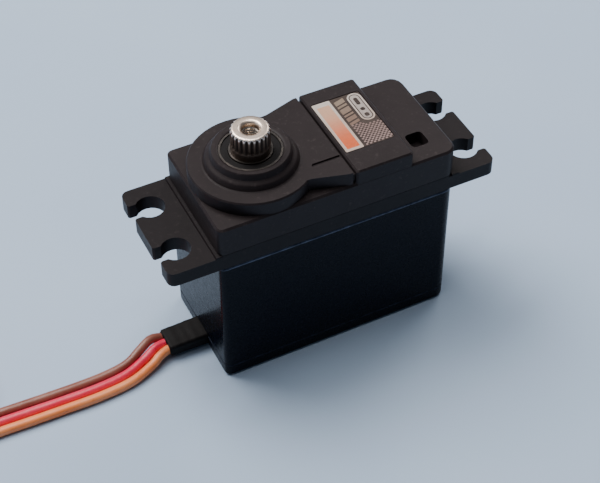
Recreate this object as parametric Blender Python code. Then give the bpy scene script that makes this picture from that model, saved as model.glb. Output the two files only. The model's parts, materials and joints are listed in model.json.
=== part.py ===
"""Position servo motor: housing shells, geared output, motor, feedback potentiometer, board and lead.

Frame: +Z up, origin on the case's bottom face, midway between the ears' outer ends. +X runs from the
output end to the far end of the case, Y across it. Every dimension below is in millimetres and is scaled to metres.
"""
import math

import bmesh
import bpy
from mathutils import Vector
from mathutils.geometry import tessellate_polygon

MM = 0.001

# ---- case ---------------------------------------------------------------------------------
CASE_X0, CASE_X1 = -19.4, 20.3       # output end and far end of the case
CASE_L, CASE_W = CASE_X1 - CASE_X0, 19.5
CASE_MID = (CASE_X0 + CASE_X1) / 2
CASE_R, CASE_R_FAR = 1.0, 2.0        # radii of its upright edges, output end and far end
WALL = 1.2
INNER_L, INNER_W = CASE_L - 2 * WALL, CASE_W - 2 * WALL
Z_COVER = 2.4                        # top of the bottom cover
Z_EAR0, Z_EAR1 = 24.5, 27.0          # underside and top of the ears
Z_SPLIT = 27.3                       # joint of mounting frame and top cover
Z_SHOULDER = 32.4                    # low ends of the top cover
Z_DISC = 34.7                        # top of the round boss's plinth and of the neck
Z_PLATEAU = 34.8                     # raised label plateau
Z_CEIL = 33.5                        # inside roof over the gears
Z_DECK0, Z_DECK1 = 25.0, 26.4        # gear deck
SEAM = 0.08                          # gap between housing shells

# ---- ears ---------------------------------------------------------------------------------
EAR_X, EAR_W = 27.35, 19.3
EAR_R = 1.2
HOLE_X, HOLE_Y, HOLE_R, MOUTH = 24.3, 4.9, 2.3, 1.45

# ---- screws -------------------------------------------------------------------------------
SCREW_X, SCREW_Y = INNER_L / 2 - 1.1, INNER_W / 2 - 1.1   # from the middle of the case
SCREW_R, SCREW_HOLE_R = 1.0, 1.12
HEAD_R, HEAD_Z0, HEAD_Z1 = 1.75, 0.35, 1.35
PILLAR = 2.55                        # inner corner pillars reach this far in from the inner walls

# ---- gear axes ----------------------------------------------------------------------------
OUT = (-9.6, 0.0)
PIN_A = (-0.1, 0.0)
PIN_B = (7.72, 1.7)
MOTOR = (8.13, -1.7)
PIN_R, BORE_R = 0.75, 0.80
PRESSURE = math.radians(20.0)
SHIFT = 0.41                         # profile shift of each 10- or 12-tooth pinion, taken off its wheel
SLACK = 0.05                         # each tooth is thinner than half the pitch by this
# levels of the four meshes
L1, L2, L3, L4 = (26.6, 27.8), (28.0, 29.6), (29.8, 31.2), (31.4, 33.3)

# ---- output -------------------------------------------------------------------------------
BOSS_R, STEP_R, RIM_R, SEAT_R = 9.65, 7.05, 6.0, 4.85
Z_STEP, Z_RIM, Z_SEAT = 35.7, 37.0, 34.2
SHAFT_R = 3.0
SPLINE_N, SPLINE_R, SPLINE_ROOT = 23, 2.96, 2.66
Z_COLLAR, Z_TOP = 38.1, 40.8

# ---- lead ---------------------------------------------------------------------------------
WIRE_R = 0.75
COIL = (-66.0, 9.2)
COIL_R0, COIL_STEP, COIL_LIFT = 12.0, 1.6, 0.4


def clear_scene():
    for o in list(bpy.data.objects):
        bpy.data.objects.remove(o, do_unlink=True)


def material(name, rgb, rough, metal=0.0):
    m = bpy.data.materials.new(name)
    m.use_nodes = True
    b = m.node_tree.nodes["Principled BSDF"]
    b.inputs["Base Color"].default_value = (*rgb, 1.0)
    b.inputs["Roughness"].default_value = rough
    b.inputs["Metallic"].default_value = metal
    m.diffuse_color = (*rgb, 1.0)
    return m


# ---- solids -------------------------------------------------------------------------------
def finish(name, bm, mat, smooth=None):
    bmesh.ops.recalc_face_normals(bm, faces=bm.faces)
    me = bpy.data.meshes.new(name)
    bm.to_mesh(me)
    bm.free()
    o = bpy.data.objects.new(name, me)
    bpy.context.scene.collection.objects.link(o)
    me.materials.append(mat)
    if smooth:
        me.shade_smooth()
        me.set_sharp_from_angle(angle=math.radians(smooth))
    return o


def area2(loop):
    return sum(a[0] * b[1] - b[0] * a[1] for a, b in zip(loop, loop[1:] + loop[:1]))


def solid(name, sections, mat, holes=(), smooth=None, at=(0, 0)):
    """A closed body through sections, (z, outline) pairs with equal point counts, with straight holes."""
    bm = bmesh.new()
    ax, ay = at
    rows = []
    for z, loop in sections:
        if area2(loop) < 0:
            loop = loop[::-1]
        rows.append([bm.verts.new(((x + ax) * MM, (y + ay) * MM, z * MM)) for x, y in loop])
    hole_rows = []
    for h in holes:
        if area2(h) > 0:
            h = h[::-1]
        hole_rows.append([[bm.verts.new(((x + ax) * MM, (y + ay) * MM, z * MM)) for x, y in h]
                          for z in (sections[0][0], sections[-1][0])])
    walls = list(zip(rows, rows[1:])) + [(a, b) for a, b in hole_rows]
    for low, high in walls:
        n = len(low)
        for i in range(n):
            j = (i + 1) % n
            bm.faces.new((low[i], low[j], high[j], high[i]))
    if not holes:
        bm.faces.new(rows[0][::-1])
        bm.faces.new(rows[-1])
    for end, k in ((0, 0), (-1, 1)) if holes else ():
        loops = [rows[end]] + [h[k] for h in hole_rows]
        flat = [v for loop in loops for v in loop]
        tris = tessellate_polygon([[Vector((v.co.x, v.co.y, 0)) / MM for v in loop] for loop in loops])
        for t in tris:
            a, b, c = (flat[i] for i in t)
            s = (b.co.x - a.co.x) * (c.co.y - a.co.y) - (b.co.y - a.co.y) * (c.co.x - a.co.x)
            up = s > 0
            bm.faces.new((a, b, c) if up == (k == 1) else (a, c, b))
    return finish(name, bm, mat, smooth)


def turned(name, profile, n, mat, at=(0, 0), ripple=None, smooth=35, phase=0.0):
    """Turns (r, z) points about the axis at `at`. A profile that starts and ends on the axis gives a solid
    piece, any other one is closed on itself. ripple(index, angle) scales the radius for splines."""
    bm = bmesh.new()
    rows = []
    for k, (r, z) in enumerate(profile):
        if r < 1e-6:
            rows.append([bm.verts.new((at[0] * MM, at[1] * MM, z * MM))])
        else:
            row = []
            for i in range(n):
                a = phase + 2 * math.pi * i / n
                q = r * (ripple(k, i) if ripple else 1.0)
                row.append(bm.verts.new(((at[0] + q * math.cos(a)) * MM, (at[1] + q * math.sin(a)) * MM, z * MM)))
            rows.append(row)
    pairs = list(zip(rows, rows[1:]))
    if len(rows[0]) > 1:
        pairs.append((rows[-1], rows[0]))
    for a, b in pairs:
        for i in range(n):
            j = (i + 1) % n
            if len(a) == 1:
                bm.faces.new((a[0], b[i], b[j]))
            elif len(b) == 1:
                bm.faces.new((a[i], b[0], a[j]))
            else:
                bm.faces.new((a[i], b[i], b[j], a[j]))
    return finish(name, bm, mat, smooth)


def hide(o):
    o.hide_render = True
    o.display_type = "WIRE"
    return o


def joined(name, tools):
    """One tool from several, so a shell is cut or built up in a single step."""
    b = bmesh.new()
    for t in tools:
        b.from_mesh(t.data)
    me = bpy.data.meshes.new(name)
    b.to_mesh(me)
    b.free()
    for t in tools:
        bpy.data.objects.remove(t, do_unlink=True)
    o = bpy.data.objects.new(name, me)
    bpy.context.scene.collection.objects.link(o)
    return o


def cut(o, tool, op="DIFFERENCE"):
    several = isinstance(tool, list)
    if several:
        tool = joined(o.name + "_" + op.lower() + "_tool", tool)
    m = o.modifiers.new(op.lower(), "BOOLEAN")
    m.operation = op
    m.solver = "EXACT"
    m.use_self = several
    m.object = hide(tool)


# ---- outlines -----------------------------------------------------------------------------
def arc(cx, cy, r, a0, a1, n):
    return [(cx + r * math.cos(math.radians(a0 + (a1 - a0) * i / n)),
             cy + r * math.sin(math.radians(a0 + (a1 - a0) * i / n))) for i in range(n + 1)]


def circle(r, n, cx=0.0, cy=0.0, phase=0.0):
    return [(cx + r * math.cos(phase + 2 * math.pi * i / n), cy + r * math.sin(phase + 2 * math.pi * i / n))
            for i in range(n)]


def rounded(x0, x1, y0, y1, r_left, r_right=None, inset=0.0, n=4):
    rr = (r_left if r_right is None else r_right)
    x0, x1, y0, y1 = x0 + inset, x1 - inset, y0 + inset, y1 - inset
    rl, rr = max(r_left - inset, 0.05), max(rr - inset, 0.05)
    return (arc(x1 - rr, y0 + rr, rr, -90, 0, n) + arc(x1 - rr, y1 - rr, rr, 0, 90, n)
            + arc(x0 + rl, y1 - rl, rl, 90, 180, n) + arc(x0 + rl, y0 + rl, rl, 180, 270, n))


def inner_outline():
    """The inside of the shells, less the four corner pillars that hold the long screws."""
    x, y, p, f = INNER_L / 2, INNER_W / 2, PILLAR, 0.5
    q = []
    for sx, sy in ((1, -1), (1, 1), (-1, 1), (-1, -1)):
        c = [(sx * x, sy * (y - p)), (sx * (x - p + f), sy * (y - p)), (sx * (x - p), sy * (y - p + f)), (sx * (x - p), sy * y)]
        q += c if sx * sy > 0 else c[::-1]
    return [(a + CASE_MID, b) for a, b in q]


def case_outline(inset=0.0):
    return rounded(CASE_X0, CASE_X1, -CASE_W / 2, CASE_W / 2, CASE_R, CASE_R_FAR, inset)


def corners(sx=(-1, 1), sy=(-1, 1)):
    return [(CASE_MID + a * SCREW_X, b * SCREW_Y) for a in sx for b in sy]


def ear_outline(side):
    """One ear, with its two open-ended screw holes. side is -1 or 1."""
    pts = [(17.5, -EAR_W / 2)] + arc(EAR_X - EAR_R, -EAR_W / 2 + EAR_R, EAR_R, -90, 0, 4)
    a = math.degrees(math.asin(MOUTH / HOLE_R))
    for y in (-HOLE_Y, HOLE_Y):
        pts += [(EAR_X, y - MOUTH - 0.25), (EAR_X - 0.25, y - MOUTH)]
        pts += arc(HOLE_X, y, HOLE_R, -a, -(360 - a), 16)
        pts += [(EAR_X - 0.25, y + MOUTH), (EAR_X, y + MOUTH + 0.25)]
    pts += arc(EAR_X - EAR_R, EAR_W / 2 - EAR_R, EAR_R, 0, 90, 4) + [(17.5, EAR_W / 2)]
    return [(side * x, y) for x, y in pts]


def inv(a):
    return math.tan(a) - a


def gear_outline(teeth, module, shift, phase, flank):
    """An involute spur gear; a tooth's middle lies at angle phase. flank is the points up each side."""
    rp = module * teeth / 2
    rb = rp * math.cos(PRESSURE)
    ra = module * (teeth / 2 + shift + 1.0)
    rf = module * (teeth / 2 + shift - 1.25)
    s = module * (math.pi / 2 + 2 * shift * math.tan(PRESSURE)) - SLACK
    half = s / (2 * rp) + inv(PRESSURE)

    def side(r):
        return half - (inv(math.acos(rb / r)) if r > rb else 0.0)
    start = max(rf + 0.02, rb)
    radii = [rf] + ([start + (ra - start) * (k / (flank - 1)) for k in range(flank)] if flank > 1 else [ra])
    pts = []
    for t in range(teeth):
        c = phase + 2 * math.pi * t / teeth
        for r in radii:
            pts.append((r * math.cos(c - side(r)), r * math.sin(c - side(r))))
        for r in reversed(radii):
            pts.append((r * math.cos(c + side(r)), r * math.sin(c + side(r))))
    return pts


def heading(a, b):
    return math.atan2(b[1] - a[1], b[0] - a[0])


def mesh_pair(pinion_at, wheel_at, wheel_teeth):
    """Phases that put a pinion tooth in a wheel gap on the line of centres."""
    h = heading(pinion_at, wheel_at)
    return h, h + math.pi - math.pi / wheel_teeth


clear_scene()

M_TOP = material("cover_plastic", (0.035, 0.030, 0.031), 0.55)
M_CASE = material("case_plastic", (0.012, 0.012, 0.015), 0.18)
M_STEEL = material("steel", (0.62, 0.62, 0.63), 0.30, 1.0)
M_SHAFT = material("shaft_nickel", (0.72, 0.66, 0.60), 0.28, 1.0)
M_BRASS = material("gear_brass", (0.72, 0.52, 0.24), 0.35, 1.0)
M_ALLOY = material("gear_alloy", (0.45, 0.44, 0.43), 0.4, 1.0)
M_LABEL = material("label_foil", (0.60, 0.42, 0.30), 0.4, 0.3)
M_RUBBER = material("boot_rubber", (0.02, 0.02, 0.02), 0.7)
M_BOARD = material("board", (0.03, 0.16, 0.08), 0.5)
M_CHIP = material("chip", (0.02, 0.02, 0.022), 0.5)
M_CAN = material("motor_steel", (0.55, 0.55, 0.56), 0.35, 1.0)
M_COPPER = material("winding_copper", (0.60, 0.28, 0.14), 0.4, 1.0)
M_MAGNET = material("magnet", (0.20, 0.20, 0.21), 0.4, 0.8)
M_POT = material("pot_resin", (0.10, 0.12, 0.22), 0.5)
M_BROWN = material("wire_brown", (0.20, 0.10, 0.06), 0.45)
M_RED = material("wire_red", (0.62, 0.02, 0.03), 0.4)
M_ORANGE = material("wire_orange", (0.85, 0.25, 0.06), 0.4)
M_PLUG = material("plug_plastic", (0.02, 0.02, 0.02), 0.45)
M_GOLD = material("contact_gold", (0.85, 0.62, 0.25), 0.25, 1.0)
M_TIE = material("tie_nylon", (0.03, 0.03, 0.03), 0.4)

# ============================ top cover ====================================================
ZC0 = Z_SPLIT + SEAM
top = solid("top_cover", [(ZC0, case_outline(0.0)), (Z_SHOULDER - 0.3, case_outline(0.0)),
                          (Z_SHOULDER, case_outline(0.3))], M_TOP, smooth=30)
PX0, PX1 = 2.95, 12.4
plate = lambda i: rounded(PX0 + i, PX1 - i, -CASE_W / 2 + 0.03 + i, CASE_W / 2 - 0.03 - i, 0.25, 0.25, 0, 1)
plateau = solid("t_plateau", [(30.0, plate(0)), (Z_PLATEAU - 0.25, plate(0)), (Z_PLATEAU, plate(0.25))], M_TOP)
neck_line = [(-9.0, -7.4), (-3.4, -7.9), (1.9, -9.45), (2.43, -9.45), (2.43, 9.45), (1.9, 9.45), (-3.4, 7.9), (-9.0, 7.4)]
neck = solid("t_neck", [(30.2, neck_line), (Z_DISC, neck_line)], M_TOP)
boss = turned("t_boss", [(0, 30.1), (BOSS_R, 30.1), (BOSS_R, Z_DISC - 0.25), (BOSS_R - 0.2, Z_DISC),
                         (STEP_R + 0.40, Z_DISC), (STEP_R + 0.16, Z_DISC + 0.14), (STEP_R - 0.12, Z_STEP - 0.22), (STEP_R - 0.32, Z_STEP),
                         (RIM_R + 0.5, Z_STEP + 0.12), (RIM_R + 0.22, Z_STEP + 0.36), (RIM_R, Z_RIM - 0.2),
                         (RIM_R - 0.2, Z_RIM), (0, Z_RIM)], 48, M_TOP, OUT)
# low strip that joins neck and plateau and leaves a groove between them
strip_line = [(2.0, -9.05), (3.4, -9.05), (3.4, 9.35), (2.0, 9.35)]
strip = solid("t_strip", [(30.6, strip_line), (33.9, strip_line)], M_TOP)
cut(top, [plateau, neck, boss, strip], "UNION")
# insides
base_room = solid("c_base", [(ZC0 - 1, inner_outline()), (31.45, inner_outline())], M_TOP)
boss_room = turned("c_boss", [(0, 31.0), (7.7, 31.0), (7.7, Z_CEIL), (4.25, Z_CEIL + 0.02), (4.25, Z_SEAT + 0.3),
                              (0, Z_SEAT + 0.3)], 40, M_TOP, OUT)
neck_room = solid("c_neck", [(31.1, rounded(-7.0, 3.0, -4.3, 4.3, 0.2, None, 0, 1)),
                             (Z_CEIL - 0.01, rounded(-7.0, 3.0, -4.3, 4.3, 0.2, None, 0, 1))], M_TOP)
plateau_room = solid("c_plateau", [(31.2, rounded(2.8, 11.3, -7.9, 7.9, 0.3, None, 0, 1)),
                                   (Z_CEIL - 0.02, rounded(2.8, 11.3, -7.9, 7.9, 0.3, None, 0, 1))], M_TOP)
seat = turned("c_seat", [(0, Z_SEAT), (SEAT_R, Z_SEAT), (SEAT_R, Z_RIM - 0.22), (SEAT_R + 0.42, Z_RIM), (SEAT_R + 0.42, Z_RIM + 1),
                         (0, Z_RIM + 1)], 48, M_TOP, OUT)
LX0, LX1, LY0, LY1 = 3.45, 11.75, -5.3, 6.7
recess = solid("c_recess", [(Z_PLATEAU - 0.25, rounded(LX0, LX1, LY0, LY1, 0.4, None, 0, 2)),
                            (Z_PLATEAU + 1, rounded(LX0, LX1, LY0, LY1, 0.4, None, 0, 2))], M_TOP)
cut(top, [base_room, boss_room, neck_room, plateau_room])
# a cup hangs from the low end's roof and holds the square pocket
cut(top, solid("t_cup", [(29.8, rounded(13.6, 17.7, -7.2, -2.9, 0.5, None, 0, 2)), (31.9, rounded(13.6, 17.7, -7.2, -2.9, 0.5, None, 0, 2))], M_TOP), "UNION")
pocket = solid("c_pocket", [(30.25, rounded(14.2, 17.1, -6.55, -3.5, 0.6, None, 0, 2)),
                            (Z_SHOULDER + 1, rounded(14.2, 17.1, -6.55, -3.5, 0.6, None, 0, 2))], M_TOP)
tools = [seat, recess, pocket]
# short groove along one side of the neck
groove = rounded(-2.3, 2.9, -5.75, -5.05, 0.25, None, 0, 1)
tools += [solid("c_groove", [(Z_DISC - 0.28, groove), (Z_DISC + 1, groove)], M_TOP)]
tools += [turned(f"c_top_screw{i}", [(0, 26.0), (SCREW_HOLE_R, 26.0), (SCREW_HOLE_R, 30.6), (0, 30.9)], 12, M_TOP, p)
          for i, p in enumerate(corners())]
tools += [turned(f"c_top_pin{i}", [(0, 33.0), (PIN_R + 0.05, 33.0), (PIN_R + 0.05, 34.15), (0, 34.15)], 12, M_TOP, p)
          for i, p in enumerate((PIN_A, PIN_B))]
cut(top, tools)

# ============================ mounting frame ================================================
ZF0, ZF1 = Z_EAR0, Z_SPLIT
frame = solid("mounting_frame", [(ZF0, case_outline(0.04)), (ZF0 + 0.04, case_outline(0.0)), (ZF1, case_outline(0.0))],
              M_TOP, smooth=30)
for side, nm in ((-1, "l"), (1, "r")):
    line = ear_outline(side)
    cx = side * 22.0
    cut(frame, solid("f_ear_" + nm, [(Z_EAR0 + 0.02, line), (Z_EAR1, line)], M_TOP), "UNION")
    b = bmesh.new()
    wall = abs(CASE_X0 if side < 0 else CASE_X1)
    prof = [(wall + 0.85, Z_EAR1 - 0.4), (wall - 0.7, Z_EAR1 - 0.4), (wall - 0.7, ZF1 - 0.01), (wall + 0.45, ZF1 - 0.01)]
    rows = [[b.verts.new((side * x * MM, y * MM, z * MM)) for x, z in prof] for y in (-EAR_W / 2 + 0.02, EAR_W / 2 - 0.02)]
    for i in range(4):
        b.faces.new((rows[0][i], rows[0][(i + 1) % 4], rows[1][(i + 1) % 4], rows[1][i]))
    b.faces.new(rows[0][::-1])
    b.faces.new(rows[1])
    cut(frame, finish("f_root_" + nm, b, M_TOP), "UNION")
cut(frame, solid("c_frame_up", [(Z_DECK1, inner_outline()), (ZF1 + 1, inner_outline())], M_TOP))
cut(frame, solid("c_frame_low", [(ZF0 - 1, inner_outline()), (Z_DECK0, inner_outline())], M_TOP))
cut(frame, turned("c_low_seat", [(0, 24.5), (2.9, 24.5), (2.9, 25.2), (3.55, 25.2), (3.55, 27.0), (0, 27.0)], 32, M_TOP, OUT))
cut(frame, turned("c_motor_hole", [(0, 24.5), (2.35, 24.5), (2.35, 27.0), (0, 27.0)], 24, M_TOP, MOTOR))
for i, p in enumerate((PIN_A, PIN_B)):
    cut(frame, turned(f"c_frame_pin{i}", [(0, 25.25), (PIN_R + 0.05, 25.25), (PIN_R + 0.05, 27.0), (0, 27.0)], 12, M_TOP, p))
for i, (x, y) in enumerate(corners()):
    cut(frame, turned(f"c_frame_screw{i}", [(0, 23.0), (SCREW_HOLE_R, 23.0), (SCREW_HOLE_R, 28.0), (0, 28.0)], 12, M_TOP, (x, y)))

# ============================ motor case and bottom cover ====================================
screw_loops = [circle(SCREW_HOLE_R, 12, x, y) for x, y in corners()]
case = solid("motor_case", [(Z_COVER + SEAM, case_outline(0.04)), (Z_COVER + SEAM + 0.04, case_outline()),
                            (Z_EAR0 - SEAM - 0.20, case_outline()), (Z_EAR0 - SEAM, case_outline(0.24))],
             M_CASE, holes=[inner_outline()] + screw_loops, smooth=30)
BOOT_W, BOOT_Z0, BOOT_Z1 = 4.8, 0.35, 2.65
notch = [(-21.0, -BOOT_W / 2 - 0.1), (-17.0, -BOOT_W / 2 - 0.1), (-17.0, BOOT_W / 2 + 0.1), (-21.0, BOOT_W / 2 + 0.1)]
cut(case, solid("c_case_notch", [(1.5, notch), (BOOT_Z1 + 0.08, notch)], M_CASE))
cover = solid("bottom_cover", [(0.0, case_outline(0.45)), (0.45, case_outline(0.0)), (Z_COVER - 0.18, case_outline(0.0)),
                               (Z_COVER, case_outline(0.20))], M_CASE, smooth=30)
cut(cover, solid("c_cover_room", [(1.1, inner_outline()), (Z_COVER + 1, inner_outline())], M_CASE))
cut(cover, solid("c_cover_notch", [(BOOT_Z0 - 0.08, notch), (Z_COVER + 0.8, notch)], M_CASE))
for i, (x, y) in enumerate(corners()):
    cut(cover, turned(f"c_head{i}", [(0, -1), (HEAD_R + 0.12, -1), (HEAD_R + 0.12, HEAD_Z1 + 0.05), (SCREW_HOLE_R, HEAD_Z1 + 0.05),
                                     (SCREW_HOLE_R, 4.0), (0, 4.0)], 16, M_CASE, (x, y)))
for i, (x, y) in enumerate(corners()):
    s = turned(f"case_screw_{i + 1}", [(0, HEAD_Z0), (HEAD_R - 0.25, HEAD_Z0), (HEAD_R, HEAD_Z0 + 0.3), (HEAD_R, HEAD_Z1), (SCREW_R, HEAD_Z1),
                                       (SCREW_R, 29.8), (SCREW_R - 0.5, 30.3), (0, 30.3)], 12, M_STEEL, (x, y))
    w, l = 0.22, 1.05
    cross = [(w, -l), (w, -w), (l, -w), (l, w), (w, w), (w, l), (-w, l), (-w, w), (-l, w), (-l, -w), (-w, -w), (-w, -l)]
    cut(s, solid(f"c_cross{i}", [(HEAD_Z0 - 0.5, cross), (HEAD_Z0 + 0.55, cross)], M_STEEL, at=(x, y)))

# label plate in its recess
solid("label_plate", [(Z_PLATEAU - 0.20, rounded(LX0, LX1, LY0, LY1, 0.4, None, 0.12, 2)),
                      (Z_PLATEAU - 0.06, rounded(LX0, LX1, LY0, LY1, 0.4, None, 0.12, 2))], M_LABEL)

# strain relief boot: rounded bar through the end wall, with a flange inside
def yz_bar(name, mat, xs):
    """A bar along X through (x, half width, z low, z high) sections, with rounded corners."""
    b = bmesh.new()
    rows = []
    for x, hw, z0, z1 in xs:
        r = 0.5
        pts = rounded(-hw, hw, z0, z1, r, None, 0, 2)
        rows.append([b.verts.new((x * MM, y * MM, z * MM)) for y, z in pts])
    for p, q in zip(rows, rows[1:]):
        for i in range(len(p)):
            j = (i + 1) % len(p)
            b.faces.new((p[i], p[j], q[j], q[i]))
    b.faces.new(rows[0][::-1])
    b.faces.new(rows[-1])
    return finish(name, b, mat, 40)


boot = yz_bar("strain_relief_boot", M_RUBBER, [(-25.9, 2.30, 0.45, 2.50), (-25.6, 2.40, 0.40, 2.6), (-19.45, BOOT_W / 2, BOOT_Z0, BOOT_Z1),
                                               (-17.75, BOOT_W / 2, BOOT_Z0, BOOT_Z1)])
for k, y in enumerate((1.58, 0.0, -1.58)):
    b = bmesh.new()
    rows = [[b.verts.new((x * MM, (y + yy) * MM, (1.5 + zz) * MM)) for yy, zz in circle(0.55, 8)] for x in (-27.0, -24.9)]
    for i in range(8):
        j = (i + 1) % 8
        b.faces.new((rows[0][i], rows[0][j], rows[1][j], rows[1][i]))
    b.faces.new(rows[0][::-1])
    b.faces.new(rows[1])
    cut(boot, finish(f"c_boot{k}", b, M_RUBBER))

# ============================ output shaft, bearings ========================================
def spline(k, i):
    if SP0 <= k <= SP1:
        return 1.0 if i % 2 else SPLINE_ROOT / SPLINE_R
    return 1.0


prof = [(0, 28.0), (1.08, 27.9), (1.08, 24.35), (1.5, 24.35), (1.5, 26.45), (2.1, 26.5), (2.1, 29.7), (2.85, 29.75), (2.85, 33.38),
        (SHAFT_R, 33.42), (SHAFT_R, Z_COLLAR - 0.1), (SPLINE_R, Z_COLLAR), (SPLINE_R, Z_TOP - 0.3), (SPLINE_R - 0.3, Z_TOP),
        (1.85, Z_TOP), (1.3, Z_TOP - 0.45), (1.3, 33.5), (0, 33.0)]
SP0, SP1 = 11, 12
turned("output_shaft", prof, SPLINE_N * 2, M_SHAFT, OUT, ripple=spline, smooth=28)


def ball_bearing(name, at, r_out, r_in, z0, z1, balls, ball_r, seg, shield):
    rc = (r_out + r_in) / 2
    gap = ball_r + 0.04
    turned(name + "_outer_ring", [(r_out, z0), (r_out, z1), (rc + gap, z1), (rc + gap, z0)], seg, M_STEEL, at)
    turned(name + "_inner_ring", [(rc - gap, z0), (rc - gap, z1), (r_in, z1), (r_in, z0)], seg, M_STEEL, at)
    zc = (z0 + z1) / 2 - (0.15 if shield else 0)
    cage = turned(name + "_ball_cage", [(rc + 0.12, zc - 0.16), (rc + 0.12, zc + 0.16), (rc - 0.12, zc + 0.16), (rc - 0.12, zc - 0.16)],
                  balls, M_BRASS, at, phase=0.2)
    b = bmesh.new()
    for i in range(balls):
        a = 2 * math.pi * i / balls + 0.2
        c = Vector((at[0] + rc * math.cos(a), at[1] + rc * math.sin(a), zc)) * MM
        s = bmesh.ops.create_uvsphere(b, u_segments=6, v_segments=4, radius=ball_r * MM)
        bmesh.ops.translate(b, verts=s["verts"], vec=c)
    cut(cage, finish(name + "_balls_tool", b, M_STEEL), "UNION")
    if shield:
        turned(name + "_shield", [(rc + gap - 0.06, z1 - 0.32), (rc + gap - 0.06, z1 - 0.17), (rc - gap + 0.10, z1 - 0.17), (rc - gap + 0.10, z1 - 0.32)],
               seg, M_STEEL, at)


ball_bearing("upper_bearing", OUT, SEAT_R - 0.05, SHAFT_R + 0.05, Z_SEAT + 0.05, 36.75, 8, 0.55, 32, True)
ball_bearing("lower_bearing", OUT, 3.5, 1.55, 25.25, 26.35, 7, 0.42, 24, False)

# ============================ gear train =====================================================
def gear(name, at, teeth, module, shift, phase, z, bore, mat, flank, bore_n):
    line = gear_outline(teeth, module, shift, phase, flank)
    return solid(name, [(z[0], line), (z[1], line)], mat, holes=[circle(bore, bore_n)], at=at)


p_m, w1 = mesh_pair(MOTOR, PIN_A, 46)
p_1, w2 = mesh_pair(PIN_A, PIN_B, 38)
p_2, w3 = mesh_pair(PIN_B, PIN_A, 30)
p_3, w4 = mesh_pair(PIN_A, OUT, 28)
tip = lambda z, m: m * (z / 2 + SHIFT + 1.0)
gear("motor_pinion", MOTOR, 10, 0.30, SHIFT, p_m, L1, 0.55, M_BRASS, 3, 12)
gear("gear_1_wheel", PIN_A, 46, 0.30, -SHIFT, w1, L1, tip(12, 0.32) + 0.05, M_BRASS, 1, 20)
gear("gear_1_pinion", PIN_A, 12, 0.32, SHIFT, p_1, (L1[0], L2[1]), BORE_R, M_STEEL, 3, 16)
gear("gear_2_wheel", PIN_B, 38, 0.32, -SHIFT, w2, L2, tip(10, 0.40) + 0.05, M_BRASS, 1, 20)
gear("gear_2_pinion", PIN_B, 10, 0.40, SHIFT, p_2, (L2[0], L3[1]), BORE_R, M_STEEL, 3, 16)
gear("gear_3_wheel", PIN_A, 30, 0.40, -SHIFT, w3, L3, tip(10, 0.50) + 0.05, M_BRASS, 1, 20)
gear("gear_3_pinion", PIN_A, 10, 0.50, SHIFT, p_3, (L3[0], L4[1]), BORE_R, M_STEEL, 3, 16)
gear("output_gear", OUT, 28, 0.50, -SHIFT, w4, L4, 2.90, M_BRASS, 2, 28)
turned("gear_pin_a", [(0, 25.3), (PIN_R, 25.3), (PIN_R, 33.9), (PIN_R - 0.15, 34.05), (0, 34.05)], 14, M_STEEL, PIN_A)
turned("gear_pin_b", [(0, 25.3), (PIN_R, 25.3), (PIN_R, 33.9), (PIN_R - 0.15, 34.05), (0, 34.05)], 14, M_STEEL, PIN_B)

# ============================ motor ==========================================================
turned("motor_can", [(6.0, 7.6), (6.0, 23.5), (5.7, 23.8), (2.1, 23.8), (2.1, 24.7), (0.6, 24.7), (0.6, 23.3), (5.5, 23.3), (5.5, 7.6)], 32, M_CAN, MOTOR)
turned("motor_end_cap", [(5.95, 6.6), (5.95, 7.5), (5.4, 7.5), (5.4, 8.3), (0.6, 8.3), (0.6, 6.6)], 32, M_CHIP, MOTOR)
turned("motor_magnet", [(3.4, 9.6), (3.4, 22.9), (0.65, 22.9), (0.65, 9.6)], 24, M_MAGNET, MOTOR)
turned("motor_winding", [(4.9, 8.6), (4.9, 22.6), (3.8, 22.6), (3.8, 9.2), (0.55, 9.2), (0.55, 8.6)], 28, M_COPPER, MOTOR)
turned("motor_shaft", [(0, 7.0), (0.5, 7.0), (0.5, 27.75), (0.4, 27.85), (0, 27.85)], 12, M_STEEL, MOTOR)
for k, y in enumerate((-3.6, 3.6)):
    t = [(MOTOR[0] - 0.6, MOTOR[1] + y - 0.2), (MOTOR[0] + 0.6, MOTOR[1] + y - 0.2), (MOTOR[0] + 0.6, MOTOR[1] + y + 0.2), (MOTOR[0] - 0.6, MOTOR[1] + y + 0.2)]
    solid(f"motor_terminal_{k + 1}", [(4.55, t), (6.5, t)], M_GOLD)

# ============================ potentiometer ==================================================
turned("pot_body", [(0, 17.4), (4.9, 17.4), (4.9, 23.2), (4.6, 23.5), (1.15, 23.5), (1.15, 22.6), (4.1, 22.6), (4.1, 18.3), (0, 18.3)], 28, M_POT, OUT)
turned("pot_shaft", [(0, 18.5), (3.6, 18.5), (3.6, 19.1), (1.0, 19.1), (1.0, 27.5), (0, 27.5)], 20, M_ALLOY, OUT)
for k in range(3):
    turned(f"pot_lead_{k + 1}", [(0, 4.55), (0.28, 4.55), (0.28, 17.3), (0, 17.3)], 8, M_STEEL, (OUT[0] - 2.54 + 2.54 * k, 3.4))

# ============================ board ==========================================================
def plate_at(name, x0, x1, y0, y1, z0, z1, r, mat):
    line = rounded(x0, x1, y0, y1, r, None, 0, 2)
    return solid(name, [(z0, line), (z1, line)], mat)


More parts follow.
